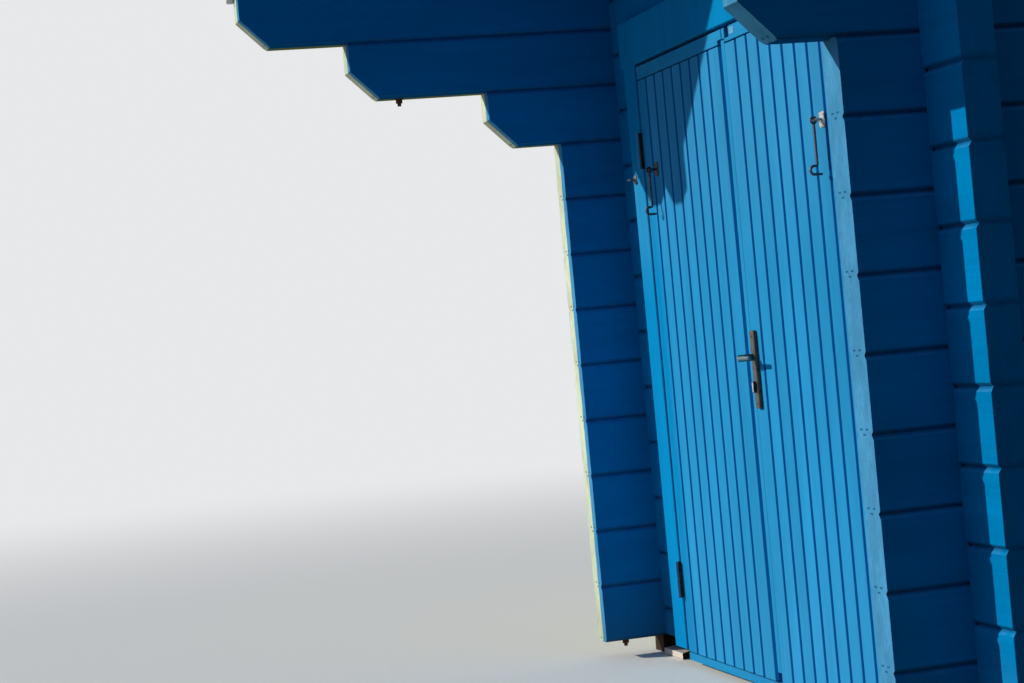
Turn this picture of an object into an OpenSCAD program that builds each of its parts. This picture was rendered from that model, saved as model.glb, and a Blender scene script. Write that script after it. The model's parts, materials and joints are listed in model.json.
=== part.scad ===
// Beach hut at the right end of a terrace, built of machined logs.
// Millimetres. X runs along the row, Y runs back from the door, Z is up.
// The origin is on the ground, under the middle of the whole outline.

/* [Logs] */
// Height of one wall log, joint to joint
log_h = 195; // [180:5:210]
// Thickness of the wall logs
log_t = 95; // [80:1:100]
// Depth of the V at every joint between logs
groove = 6; // [4:1:8]
// Plain courses of a side wall below its corbels
flush_courses = 9; // [8:1:10]

/* [Plan] */
// Distance between the centre lines of the side walls
bay_w = 2400; // [2300:10:2800]
// From the front of the wings to the outer face of the back wall
hut_len = 3020; // [2400:20:3800]
// Depth of the wings in front of the door wall
wing_d = 220; // [200:5:320]
// How far log ends stand out past the right wall
fin_out = 204; // [150:2:260]
// How far log ends stand out past the back wall
tail_out = 200; // [120:5:260]
// Height of the packers that the walls stand on
packer_h = 60; // [50:5:80]

/* [Corbels] */
// Reach of the lowest corbel in front of the wings
corbel_1 = 250; // [200:5:350]
// Reach of the middle corbel
corbel_2 = 725; // [650:5:780]
// Reach of the top corbel and the roof above it
corbel_3 = 1087; // [950:1:1250]

/* [Roof] */
// Slope of the roof
roof_pitch = 45; // [38:1:45]
// Thickness of the roof, square to its slope
roof_t = 140; // [120:5:180]
// Width of the bargeboards, square to their slope
barge_w = 170; // [130:5:190]
// Width of each box gutter
gutter_w = 108; // [90:2:120]
// Height of each box gutter
gutter_h = 180; // [140:5:200]

/* [Door] */
// Clear width between the door posts
door_w = 1636; // [1500:4:1700]
// Height of the underside of the door head
head_z = 2033; // [1950:1:2070]
// Width of the boards on each side of the door
casing_w = 114; // [90:2:140]
// Height of the board over the door
head_board_h = 154; // [120:2:180]
// Height of the lever above the ground
lever_z = 1031; // [980:1:1080]
// Height of the cabin hooks above the ground
hook_z = 1666; // [1500:2:1700]

/* [Hidden] */
$fn = 48;
side_in = bay_w / 2 - log_t / 2;
side_out = bay_w / 2 + log_t / 2;
half_h = log_h / 2;
slope = tan(roof_pitch);
upright = 1 / cos(roof_pitch);

// Heights of the side walls, and of the soffit plane at the ridge
corbel_z = packer_h + flush_courses * log_h;
top_log_z = corbel_z + 3 * log_h;
log_top_z = top_log_z + half_h;
soffit_gap = 10;
bevel_lift = max(half_h + soffit_gap, log_t * slope + 2 * groove);
soffit_peak = top_log_z + bevel_lift + side_in * slope;

// Inner faces of the door wall and back wall, and the back ends of the side walls' logs
front_in = wing_d + log_t;
back_in = hut_len - log_t;
tail_y = hut_len + tail_out;
fin_top = corbel_z + 2 * log_h + half_h;

// Roof build-up, bargeboards and gutters
soffit_t = 18;
rafter_t = 47;
rafter_drop = 8;
barge_t = 25;
barge_drop = 30;
roof_front = -corbel_3;
roof_past_tails = 20;
roof_back = tail_y + roof_past_tails;
gutter_past = 55;
gutter_step = 50;
gutter_seat = 60;
gutter_wall = 10;
gutter_in = bay_w / 2 - gutter_w / 2;
gutter_out = bay_w / 2 + gutter_w / 2;
gutter_gap = 2;
roof_stop = gutter_in - gutter_gap;
gutter_front = roof_front - barge_t - gutter_past;
gutter_back = roof_back + barge_t + gutter_past;
cap_w = 120;
cap_t = 4;

// Doorway: posts and head, boards around it, stops, sill
lining_t = 40;
lining_x = door_w / 2 + lining_t;
opening_z = head_z + lining_t;
casing_x = door_w / 2 + casing_w;
casing_t = 41.5;
casing_lift = 52;
head_board_past = 26;
stop_w = 22;
stop_t = 26;
sill_past = 18;
sill_x = door_w / 2 + sill_past;

// Packers: under the wings, the door wall, the back wall and in a row under each side wall
packer_w = 100;
wing_packer_y = 205;
door_packer_out = 34;
door_packer_w = 160;
door_packer_h = 20;
door_packer_in = 16;
packer_pitch = 970;
packer_count = floor((hut_len - 500) / packer_pitch);

// Door leaves: boards in front of a framed back
leaf_setback = 36;
leaf_gap = 5.5;
stop_gap = 5;
leaf_face = wing_d - leaf_setback;
board_t = 20;
frame_t = 40;
frame_y = leaf_face + board_t;
leaf_back = frame_y + frame_t;
stop_y = leaf_back + stop_gap;
leaf_x = door_w / 2 - leaf_gap;
leaf_z0 = 18;
head_gap = 11;
leaf_z1 = head_z - head_gap;
board_in = 24;
left_board_in = 27;
left_frame_in = 27;
right_frame_in = 2;
stile_w = 95;
rail_h = 130;

// Meeting strip: its front stands back from the edge behind it
strip_left = 17;
strip_front_left = 8;
strip_t = 10;
strip_lift = 59;
strip_drop = 35;
strip_z0 = leaf_z0 + strip_lift;
strip_z1 = leaf_z1 - strip_drop;

// Hinges: the pins stand in front of the leaves, in the gap beside them
pin_in = 3.5;
pin_out = 16;
pin_x = door_w / 2 - pin_in;
pin_y = leaf_face - pin_out;
knuckle_r = 5.5;
pin_r = 3;
hinge_h = 122;
hinge_plate_t = 1.8;
upper_hinge_drop = 343;
lower_hinge_lift = 211;
upper_hinge_z = leaf_z1 - upper_hinge_drop;
lower_hinge_z = leaf_z0 + lower_hinge_lift;

// Lever lock
lever_x = 54;
plate_w = 32;
plate_t = 12;
plate_below = 154;
plate_above = 80;
lock_drop = 80;
lock_out = 10;
lock_r = 8.5;
lock_web = 10;
lock_drop_web = 28;
neck_r = 10;
neck_gap = 0.5;
grip_r = 7;
grip_out = 57;
grip_y = leaf_face - grip_out;
grip_x = 155;

// Cabin hooks and their catch eyes
hook_inset = 122;
catch_past = 90;
hook_x = door_w / 2 - hook_inset;
catch_x = door_w / 2 + catch_past;
catch_z = hook_z - 15;
hook_plate_w = 36;
hook_plate_h = 44;
plate_sheet = 3;
catch_r = 17;
wire_r = 3.3;
stem_r = 4.1;
eye_r = 9;
bar_out = 27;
rod_drop = 124;
bend_r = 11.5;
bend_out = 9.7;
tip_gap = 12;

// Tie rods
rod_r = 6.5;
rod_end_h = 10;
nut_r = 12;
washer_r = 16;
washer_t = 3;
nut_t = 13;
corbel_rod_in = 172;
wing_rod_y = 84;

// Floor
floor_t = 28;
bearer_w = 45;
bearer_inset = 120;
bearer_end = 20;

mid_x = (side_out + fin_out - gutter_out) / 2;
mid_y = (gutter_front + gutter_back) / 2;

wing_blue = [0.18, 0.53, 0.74];
lime = [0.74, 0.80, 0.42];
white = [0.92, 0.92, 0.90];
grey_wood = [0.62, 0.58, 0.50];
black = [0.12, 0.12, 0.13];
brown = [0.36, 0.30, 0.25];
rust = [0.45, 0.27, 0.16];
steel = [0.62, 0.62, 0.60];
bronze = [0.16, 0.14, 0.12];

// Height of the soffit plane, and of the roof's top plane, at distance x from the ridge
function soffit_at(x) = soffit_peak - x * slope;
function top_at(x) = soffit_at(x) + roof_t * upright;

// Underside of the gutters, which stand in a step at the foot of each slope
gutter_z = max(top_at(roof_stop) - gutter_step, soffit_at(side_out) + soffit_t * upright + gutter_seat);

// Joints of the cross walls between two heights: they lie half a course off the side walls
function cross_joints(z0, z1) =
    [for (i = [0:40]) let (z = packer_h + half_h + i * log_h) if (z > z0 + groove && z < z1 - groove) z];

module placed() {
    translate([-mid_x, -mid_y, 0]) children();
}

module on_side(side) {
    if (side > 0) {
        children();
    } else {
        mirror([1, 0, 0]) children();
    }
}

module along_x(x0, x1) {
    translate([x0, 0, 0]) rotate([90, 0, 90]) linear_extrude(x1 - x0) children();
}

module along_y(y0, y1) {
    translate([0, y1, 0]) rotate([90, 0, 0]) linear_extrude(y1 - y0) children();
}

module block(low, high) {
    translate(low) cube(high - low);
}

// Section of a stack of logs, grooved at its joints, starting at u = 0
module log_stack(z0, z1, joints, sawn_foot = false, sawn_top = false) {
    foot = sawn_foot ? [[0, z0], [log_t, z0]]
        : [[0, z0 + groove], [groove, z0], [log_t - groove, z0], [log_t, z0 + groove]];
    top = sawn_top ? [[log_t, z1], [0, z1]]
        : [[log_t, z1 - groove], [log_t - groove, z1], [groove, z1], [0, z1 - groove]];
    rising = [for (z = joints) each [[log_t, z - groove], [log_t - groove, z], [log_t, z + groove]]];
    falling = [for (i = [len(joints) - 1:-1:0])
        each [[0, joints[i] + groove], [groove, joints[i]], [0, joints[i] - groove]]];
    polygon(concat(foot, rising, top, falling));
}

module packers() {
    door_packer_x = casing_x + door_packer_w;
    color(grey_wood) placed() {
        for (side = [-1, 1]) on_side(side) {
            block([side_in, wing_packer_y, 0], [side_out, wing_packer_y + packer_w, packer_h]);
            block([casing_x, wing_d - door_packer_out, 0], [door_packer_x, front_in, door_packer_h]);
            block([casing_x, wing_d + door_packer_in, 0], [door_packer_x, front_in, packer_h]);
            for (i = [0:packer_count]) {
                y = hut_len - i * packer_pitch;
                block([side_in, y - packer_w, 0], [side_out, y, packer_h]);
            }
        }
        block([-packer_w, back_in, 0], [packer_w, hut_len, packer_h]);
    }
}

module side_wall(side) {
    placed() on_side(side) along_y(0, tail_y) translate([side_in, 0])
        log_stack(packer_h, corbel_z, [for (i = [1:flush_courses - 1]) packer_h + i * log_h]);
}

module left_wall() {
    color(lime) side_wall(-1);
}

module right_wall() {
    color(wing_blue) side_wall(1);
}

module corbel(side, course, reach) {
    z0 = corbel_z + course * log_h;
    placed() on_side(side) difference() {
        along_y(-reach, tail_y) translate([side_in, 0]) log_stack(z0, z0 + log_h, []);
        along_x(side_in - 5, side_out + 5)
            polygon([[-reach - 5, z0 + half_h + 5], [-reach - 5, z0 - 5], [-reach + half_h + 5, z0 - 5]]);
    }
}

module left_corbel_1() {
    color(lime) corbel(-1, 0, corbel_1);
}

module left_corbel_2() {
    color(lime) corbel(-1, 1, corbel_2);
}

module left_corbel_3() {
    color(lime) corbel(-1, 2, corbel_3);
}

module right_corbel_1() {
    color(wing_blue) corbel(1, 0, corbel_1);
}

module right_corbel_2() {
    color(wing_blue) corbel(1, 1, corbel_2);
}

module right_corbel_3() {
    color(wing_blue) corbel(1, 2, corbel_3);
}

module top_log(side) {
    bevel_x = (soffit_peak - log_top_z) / slope;
    placed() on_side(side) along_y(roof_front, tail_y)
        polygon([[side_in, top_log_z + groove], [side_in + groove, top_log_z],
            [side_out - groove, top_log_z], [side_out, top_log_z + groove],
            [side_out, soffit_at(side_out)], [bevel_x, log_top_z], [side_in, log_top_z]]);
}

module left_top_log() {
    color(lime) top_log(-1);
}

module right_top_log() {
    color(wing_blue) top_log(1);
}

module front_logs(side) {
    placed() on_side(side) along_x(lining_x, side_in) translate([wing_d, 0])
        log_stack(packer_h, opening_z, cross_joints(packer_h, opening_z), sawn_top = true);
}

module front_logs_left() {
    color(wing_blue) front_logs(-1);
}

module front_logs_right() {
    color(wing_blue) front_logs(1);
}

module gable_wall(y0, z0) {
    placed() intersection() {
        along_x(-side_in, side_in) translate([y0, 0])
            log_stack(z0, soffit_peak + 5, cross_joints(z0, soffit_peak + 5), z0 > packer_h, true);
        along_y(y0 - 5, y0 + log_t + 5)
            polygon([[-side_in, z0], [side_in, z0], [side_in, soffit_at(side_in)],
                [0, soffit_peak], [-side_in, soffit_at(side_in)]]);
    }
}

module front_logs_over() {
    color(wing_blue) gable_wall(wing_d, opening_z);
}

module back_wall() {
    color(wing_blue) gable_wall(back_in, packer_h);
}

module log_ends() {
    color(wing_blue) placed() for (y = [wing_d, back_in]) {
        along_x(side_out, side_out + fin_out) translate([y, 0])
            log_stack(packer_h, fin_top, cross_joints(packer_h, fin_top));
    }
}

module door_frame() {
    color(wing_blue) placed() {
        for (side = [-1, 1]) on_side(side) {
            block([door_w / 2, wing_d, packer_h], [lining_x, front_in, head_z]);
            block([door_w / 2 - stop_w, stop_y, packer_h], [door_w / 2, stop_y + stop_t, head_z]);
        }
        block([-lining_x, wing_d, head_z], [lining_x, front_in, opening_z]);
        block([-door_w / 2, stop_y, head_z - stop_w], [door_w / 2, stop_y + stop_t, head_z]);
    }
}

module casings() {
    head_x = casing_x + head_board_past;
    color(wing_blue) placed() {
        for (side = [-1, 1]) on_side(side) {
            block([door_w / 2, wing_d - casing_t, casing_lift], [casing_x, wing_d, head_z]);
        }
        block([-head_x, wing_d - casing_t, head_z], [head_x, wing_d, head_z + head_board_h]);
    }
}

module threshold() {
    color(grey_wood) placed() block([-sill_x, stop_y, 0], [sill_x, front_in, packer_h]);
}

module floor_boards() {
    color(grey_wood) placed()
        block([-side_in, front_in, packer_h - floor_t], [side_in, back_in, packer_h]);
}

module floor_bearers() {
    color(grey_wood) placed() for (i = [-2:2]) {
        x = i * (side_in - bearer_inset) / 2;
        block([x - bearer_w / 2, front_in + bearer_end, 0],
            [x + bearer_w / 2, back_in - bearer_end, packer_h - floor_t]);
    }
}

module soffit(side) {
    lift = soffit_t * upright;
    placed() on_side(side) along_y(roof_front + rafter_t, roof_back - rafter_t)
        polygon([[0, soffit_peak], [side_out, soffit_at(side_out)],
            [side_out, soffit_at(side_out) + lift], [0, soffit_peak + lift]]);
}

module left_soffit() {
    color(wing_blue) soffit(-1);
}

module right_soffit() {
    color(wing_blue) soffit(1);
}

module roof_slope(side) {
    lift = soffit_t * upright;
    placed() on_side(side) along_y(roof_front + rafter_t, roof_back - rafter_t)
        polygon([[0, soffit_peak + lift], [side_out, soffit_at(side_out) + lift],
            [side_out, gutter_z], [roof_stop, gutter_z], [roof_stop, top_at(roof_stop)],
            [0, top_at(0)]]);
}

module left_roof() {
    color(black) roof_slope(-1);
}

module right_roof() {
    color(black) roof_slope(1);
}

module ridge_cap() {
    lift = cap_t * upright;
    color(black) placed() along_y(roof_front - barge_t, roof_back + barge_t)
        polygon([[-cap_w, top_at(cap_w)], [0, top_at(0)], [cap_w, top_at(cap_w)],
            [cap_w, top_at(cap_w) + lift], [0, top_at(0) + lift], [-cap_w, top_at(cap_w) + lift]]);
}

module barge_rafters() {
    drop = rafter_drop * upright;
    color(wing_blue) placed() for (y = [roof_front, roof_back - rafter_t]) {
        along_y(y, y + rafter_t) for (side = [-1, 1]) {
            polygon([[0, soffit_peak - drop], [side * (roof_stop - 5), soffit_at(roof_stop - 5) - drop],
                [side * roof_stop, soffit_at(roof_stop - 5) - drop + 5],
                [side * roof_stop, top_at(roof_stop)], [0, top_at(0)]]);
        }
    }
}

module bargeboards() {
    low = barge_drop * upright;
    high = (barge_w - barge_drop) * upright;
    foot_z = soffit_at(side_out) + high;
    shoulder_z = gutter_z - 2;
    shoulder_x = min(side_out, (soffit_peak + high - shoulder_z) / slope);
    color(white) placed() for (y = [roof_front - barge_t, roof_back]) {
        along_y(y, y + barge_t) for (side = [-1, 1]) {
            polygon([[0, soffit_peak - low], [side * side_out, soffit_at(side_out) - low],
                [side * side_out, min(foot_z, shoulder_z)], [side * shoulder_x, shoulder_z],
                [side * roof_stop, shoulder_z],
                [side * roof_stop, max(shoulder_z + 1, soffit_at(roof_stop) + high)],
                [0, soffit_peak + high]]);
        }
    }
}

module gutter(side) {
    placed() on_side(side) difference() {
        block([gutter_in, gutter_front, gutter_z], [gutter_out, gutter_back, gutter_z + gutter_h]);
        block([gutter_in + gutter_wall, gutter_front + gutter_wall, gutter_z + gutter_wall],
            [gutter_out - gutter_wall, gutter_back - gutter_wall, gutter_z + gutter_h + 5]);
    }
}

module left_gutter() {
    color(brown) gutter(-1);
}

module right_gutter() {
    color(brown) gutter(1);
}

// Washer, nut and threaded end below a log, hanging down from z
module rod_end(y, z) {
    translate([bay_w / 2, y, z]) {
        translate([0, 0, -washer_t]) cylinder(r = washer_r, h = washer_t);
        translate([0, 0, -washer_t - nut_t]) cylinder(r = nut_r, h = nut_t, $fn = 6);
        translate([0, 0, -washer_t - nut_t - rod_end_h]) cylinder(r = rod_r, h = rod_end_h + 1);
    }
}

module tie_rods() {
    color(rust) placed() for (side = [-1, 1]) on_side(side) {
        rod_end(corbel_rod_in - corbel_2, corbel_z + log_h);
        rod_end(wing_rod_y, packer_h);
    }
}

// Ring of wire whose hole looks along Z, centred on the origin
module wire_ring() {
    rotate_extrude() translate([eye_r, 0]) circle(r = wire_r, $fn = 20);
}

module catch_eyes() {
    face_y = wing_d - casing_t;
    ring_y = face_y - plate_sheet - eye_r - wire_r - 1;
    color(rust) placed() for (side = [-1, 1]) on_side(side) translate([catch_x, 0, catch_z]) {
        translate([0, face_y, 0]) rotate([90, 0, 0]) cylinder(r = catch_r, h = plate_sheet);
        translate([0, face_y - 1, 0]) rotate([90, 0, 0]) cylinder(r = stem_r, h = plate_sheet + wire_r);
        translate([0, ring_y, 0]) wire_ring();
    }
}

module knuckle(z0, z1) {
    translate([pin_x, pin_y, z0]) cylinder(r = knuckle_r, h = z1 - z0);
}

// Plate from the knuckles back along the edge that it is screwed to
module hinge_plate(x, z0, z1) {
    block([x, pin_y + 2, z0], [x + hinge_plate_t, leaf_back, z1]);
}

module frame_hinges() {
    plate_x = door_w / 2 - hinge_plate_t;
    third = hinge_h / 3;
    color(rust) placed() for (side = [-1, 1]) on_side(side) for (z = [lower_hinge_z, upper_hinge_z]) {
        for (z0 = [z, z + 2 * third]) {
            knuckle(z0, z0 + third);
            hinge_plate(plate_x, z0, z0 + third);
        }
        translate([pin_x, pin_y, z]) cylinder(r = pin_r, h = hinge_h);
    }
}

module leaf_hinges(side) {
    third = hinge_h / 3;
    placed() on_side(side) for (z = [lower_hinge_z, upper_hinge_z]) difference() {
        union() {
            knuckle(z + third + 1, z + 2 * third - 1);
            hinge_plate(leaf_x, z + third + 1, z + 2 * third - 1);
        }
        translate([pin_x, pin_y, z]) cylinder(r = pin_r + 0.5, h = hinge_h);
    }
}

module left_leaf_hinges() {
    color(rust) leaf_hinges(-1);
}

module right_leaf_hinges() {
    color(rust) leaf_hinges(1);
}

// One leaf on the right of the meeting line: boards, flush from top to bottom, on a framed back
module leaf(face_in, frame_in) {
    mid_z = (leaf_z0 + leaf_z1) / 2;
    block([face_in, leaf_face, leaf_z0], [leaf_x, frame_y, leaf_z1]);
    difference() {
        block([frame_in, frame_y, leaf_z0], [leaf_x, leaf_back, leaf_z1]);
        block([board_in + stile_w, frame_y, leaf_z0 + rail_h],
            [leaf_x - stile_w, leaf_back + 5, mid_z - rail_h / 2]);
        block([board_in + stile_w, frame_y, mid_z + rail_h / 2],
            [leaf_x - stile_w, leaf_back + 5, leaf_z1 - rail_h]);
    }
}

module left_leaf() {
    color(wing_blue) placed() mirror([1, 0, 0]) leaf(left_board_in, left_frame_in);
}

module right_leaf() {
    color(wing_blue) placed() leaf(board_in, right_frame_in);
}

module meeting_strip() {
    color(wing_blue) placed() {
        block([-strip_front_left, leaf_face, strip_z0], [board_in, leaf_face + strip_t, strip_z1]);
        block([-strip_left, leaf_face + strip_t, strip_z0], [board_in, frame_y, strip_z1]);
    }
}

// Plate with a wire eye whose far side is the bar that the hook hangs from
module hook_plate(side) {
    half_w = hook_plate_w / 2;
    half_plate_h = hook_plate_h / 2;
    placed() on_side(side) translate([hook_x, leaf_face, hook_z]) {
        block([-half_w, -plate_sheet, -half_plate_h], [half_w, 0, half_plate_h]);
        rotate([90, 0, 0]) cylinder(r = stem_r, h = bar_out - 2 * eye_r + 1);
        translate([0, eye_r - bar_out, 0]) wire_ring();
    }
}

module left_hook_plate() {
    color(rust) hook_plate(-1);
}

module right_hook_plate() {
    color(rust) hook_plate(1);
}

// Hook hanging from the bar: ring, rod, then a bend out and back towards the door
module cabin_hook(side) {
    ring_z = wire_r * 2 + 0.6 - eye_r;
    tip_y = bar_out - tip_gap - wire_r;
    placed() on_side(side) translate([hook_x, leaf_face - bar_out, hook_z]) {
        translate([0, 0, ring_z]) rotate([0, 90, 0]) wire_ring();
        translate([0, 0, -rod_drop]) cylinder(r = wire_r, h = rod_drop + ring_z - eye_r);
        translate([0, 0, -rod_drop]) sphere(r = wire_r);
        translate([0, 0, -rod_drop]) rotate([90, 0, 0]) cylinder(r = wire_r, h = bend_out);
        translate([0, -bend_out, -rod_drop - bend_r]) rotate([0, 90, 0]) rotate([0, 0, 180])
            rotate_extrude(angle = 180) translate([bend_r, 0]) circle(r = wire_r, $fn = 20);
        translate([0, -bend_out, -rod_drop - 2 * bend_r]) rotate([-90, 0, 0])
            cylinder(r = wire_r, h = tip_y + bend_out);
        translate([0, tip_y, -rod_drop - 2 * bend_r]) sphere(r = wire_r);
    }
}

module left_hook() {
    color(steel) cabin_hook(-1);
}

module right_hook() {
    color(steel) cabin_hook(1);
}

module handle_plate() {
    color(bronze) placed()
        block([lever_x - plate_w / 2, leaf_face - plate_t, lever_z - plate_below],
            [lever_x + plate_w / 2, leaf_face, lever_z + plate_above]);
}

module lock_cylinder() {
    color(steel) placed() translate([lever_x, leaf_face - plate_t, lever_z - lock_drop]) {
        rotate([90, 0, 0]) cylinder(r = lock_r, h = lock_out);
        block([-lock_web / 2, -lock_out, -lock_drop_web], [lock_web / 2, 0, 0]);
    }
}

module lever() {
    neck_y = leaf_face - plate_t - neck_gap;
    color(steel) placed() translate([0, 0, lever_z]) {
        translate([lever_x, neck_y, 0]) rotate([90, 0, 0]) cylinder(r = neck_r, h = neck_y - grip_y);
        translate([lever_x, grip_y, 0]) sphere(r = neck_r);
        translate([lever_x, grip_y, 0]) rotate([0, 90, 0])
            cylinder(r = grip_r, h = grip_x - grip_r - lever_x);
        translate([grip_x - grip_r, grip_y, 0]) sphere(r = grip_r);
    }
}

packers();
left_wall();
right_wall();
left_corbel_1();
left_corbel_2();
left_corbel_3();
right_corbel_1();
right_corbel_2();
right_corbel_3();
left_top_log();
right_top_log();
front_logs_left();
front_logs_right();
front_logs_over();
back_wall();
log_ends();
door_frame();
casings();
threshold();
floor_boards();
floor_bearers();
left_soffit();
right_soffit();
left_roof();
right_roof();
ridge_cap();
barge_rafters();
bargeboards();
left_gutter();
right_gutter();
tie_rods();
catch_eyes();
frame_hinges();
left_leaf();
left_leaf_hinges();
left_hook_plate();
left_hook();
right_leaf();
right_leaf_hinges();
right_hook_plate();
right_hook();
meeting_strip();
handle_plate();
lock_cylinder();
lever();
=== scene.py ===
"""Looks of the log-built beach hut: painted logs, boarded double door, hardware, roof and light."""
import json
import math
import random

import bmesh
import bpy
from mathutils import Matrix, Vector, noise


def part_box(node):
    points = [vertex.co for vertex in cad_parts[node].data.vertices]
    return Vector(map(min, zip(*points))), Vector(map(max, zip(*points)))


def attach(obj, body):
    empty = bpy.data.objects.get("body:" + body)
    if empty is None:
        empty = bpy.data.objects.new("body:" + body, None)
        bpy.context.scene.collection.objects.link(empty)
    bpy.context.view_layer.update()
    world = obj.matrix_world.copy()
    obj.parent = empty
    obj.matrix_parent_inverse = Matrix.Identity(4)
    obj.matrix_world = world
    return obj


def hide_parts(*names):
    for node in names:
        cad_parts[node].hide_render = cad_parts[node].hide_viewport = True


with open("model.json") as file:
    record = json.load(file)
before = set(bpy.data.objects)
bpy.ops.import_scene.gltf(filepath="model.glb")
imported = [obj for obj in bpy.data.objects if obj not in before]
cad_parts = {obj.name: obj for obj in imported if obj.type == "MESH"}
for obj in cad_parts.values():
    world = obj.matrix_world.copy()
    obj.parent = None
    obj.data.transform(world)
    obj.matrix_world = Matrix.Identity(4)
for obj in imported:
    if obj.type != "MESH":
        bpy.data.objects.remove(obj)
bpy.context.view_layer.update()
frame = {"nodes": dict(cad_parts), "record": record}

DICE = random.Random(11)
SHARP = math.radians(31)

# Sine and cosine of the roof's pitch
QUARTER = math.sqrt(0.5)

# Hut coordinates: x = 0 under the ridge, y = 0 at the front of the wings. The frame is shifted from them.
RIDGE_X = (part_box("left_roof")[1].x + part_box("right_roof")[0].x) / 2
WING_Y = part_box("right_wall")[0].y


def low(node):
    """Lowest corner of a CAD node, in hut coordinates."""
    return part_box(node)[0] - Vector((RIDGE_X, WING_Y, 0))


def high(node):
    """Highest corner of a CAD node, in hut coordinates."""
    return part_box(node)[1] - Vector((RIDGE_X, WING_Y, 0))


# Driving sizes, in metres
LOG_H = 0.195
BASE_Z = low("right_wall").z
SIDE_IN = low("right_wall").x
SIDE_OUT = high("right_wall").x
LOG_T = SIDE_OUT - SIDE_IN
TAIL_Y = high("right_wall").y
CORBEL_Z = high("right_wall").z
FRONT_Y = low("front_logs_right").y
FRONT_IN_Y = high("front_logs_right").y
LINING_X = low("front_logs_right").x
OPENING_Z = high("front_logs_right").z
BACK_IN_Y = low("back_wall").y
FIN_X = high("log_ends").x
FIN_TOP = high("log_ends").z
ROOF_FRONT = low("right_soffit").y
ROOF_BACK = high("right_soffit").y
SOFFIT_PEAK = low("left_soffit").z + SIDE_OUT
SOFFIT_T = 0.018
GABLE_PEAK = SOFFIT_PEAK - 0.002
ROOF_STOP = high("barge_rafters").x
LEAF_X = high("right_leaf").x
LEAF_Y = low("right_leaf").y
LEAF_BACK_Y = high("right_leaf").y
LEAF_Z0 = low("right_leaf").z
LEAF_Z1 = high("right_leaf").z
BOARD_BACK_Y = LEAF_Y + 0.020

# Bevels of a log: below it, and above it both high and deep
FOOT_BEVEL = 0.009
TOP_BEVEL_H = 0.013
TOP_BEVEL_D = 0.009

# Door boards and the rails around them
BOARDS = 9
BOARD_IN = 0.024
GROOVE = 0.0092
RAIL_FOOT_H = 0.025
RAIL_HEAD_H = 0.043
RAIL_LINE = 0.005
STILE_W = 0.095
RAIL_H = 0.130
RAIL_EASE = 0.0012

# Cabin hooks and their eyes
WIRE_R = 0.0033
EYE_R = 0.009
BAR_OUT = 0.027
HOOK_X = (low("right_hook").x + high("right_hook").x) / 2
HOOK_Z = (low("right_hook_plate").z + high("right_hook_plate").z) / 2

# The camera of the photograph, in hut coordinates
CAMERA_AT = (6.1515, -2.1968, 1.1639)
CAMERA_HEADING = 75.02
CAMERA_TILT = -0.18
CAMERA_ROLL = -5.25
CAMERA_LENS = 76.63
SENSOR_W = 36.0

# Directions in which the light travels, and the one from which the sky is brightest
KEY_ALONG = (0.58, 1.0, -0.57)
FILL_ALONG = (0.0, -1.0, -0.8)
BRIGHT_SKY = (-0.70, -0.72, 0.34)

# Linear colours of the studio
SKY = (0.41, 0.60, 1.0, 1.0)
BACKDROP = (0.80, 0.81, 0.82, 1.0)
FLOOR_SEEN = (0.79, 0.74, 0.64)
FLOOR_BOUNCE = (0.46, 0.425, 0.375)

COLOURS = {
    "log_blue": (0, 128, 183),
    "casing_blue": (10, 136, 189),
    "door_blue": (42, 144, 191),
    "end_blue": (76, 150, 188),
    # Painted shade in the tongues' open slots
    "slot_shade_blue": (12, 76, 112),
    # Dirt and painted shade in the joints between logs
    "joint_dirt_and_shade_blue": (0, 40, 74),
    # Painted shade in the door's grooves
    "groove_shade_blue": (0, 99, 168),
    "worn_blue": (120, 172, 200),
    "grey_blue": (104, 142, 158),
    "lime": (176, 178, 62),
    "lime_chalk": (216, 222, 186),
    "bare_pine": (190, 152, 104),
    "white": (226, 226, 220),
    "felt": (34, 34, 36),
    "gutter": (92, 80, 68),
    "packer": (190, 178, 166),
    "packer_face": (224, 208, 190),
    "bark": (60, 46, 30),
    "rust": (104, 58, 34),
    "zinc": (172, 164, 152),
    "chalky_zinc": (196, 190, 182),
    "dark_iron": (34, 34, 36),
    "hook_iron": (92, 94, 92),
    "knuckle": (140, 138, 112),
    # Painted shade behind the hinge knuckles
    "hinge_back_shade": (22, 32, 36),
    "pink_iron": (112, 104, 108),
    "brown_iron": (78, 66, 60),
    "navy_iron": (34, 44, 56),
    "olive": (92, 84, 54),
    "bronze": (84, 80, 68),
    "bronze_dark": (52, 46, 40),
    # The collar's dark teal is painted shade
    "collar": (34, 64, 68),
    # The lock body's near black is painted shade
    "lock_side_shade": (16, 34, 26),
    "grey_metal": (130, 134, 126),
    "lever_metal": (93, 119, 125),
    "lock_face": (200, 214, 224),
    "keep_blue": (96, 170, 206),
    "dirt": (70, 66, 58),
    "shadow": (2, 12, 26),
}


def linear(name):
    """A colour of the list above, from its 0 to 255 values to linear light."""
    def channel(value):
        value = value / 255
        return value / 12.92 if value <= 0.04045 else ((value + 0.055) / 1.055) ** 2.4
    return tuple(channel(value) for value in COLOURS[name]) + (1.0,)


def hut(x, y, z):
    """A point in hut coordinates, moved into the frame."""
    return Vector((x + RIDGE_X, y + WING_Y, z))


class Value:
    """A number that varies over a surface. Sums and products of it become nodes."""

    def __init__(self, nodes, socket):
        self.nodes = nodes
        self.socket = socket

    def __add__(self, other):
        return self.nodes.math("ADD", self, other)

    def __sub__(self, other):
        return self.nodes.math("SUBTRACT", self, other)

    def __rsub__(self, other):
        return self.nodes.math("SUBTRACT", other, self)

    def __mul__(self, other):
        return self.nodes.math("MULTIPLY", self, other)

    def __truediv__(self, other):
        return self.nodes.math("DIVIDE", self, other)

    def __abs__(self):
        return self.nodes.math("ABSOLUTE", self)


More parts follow.
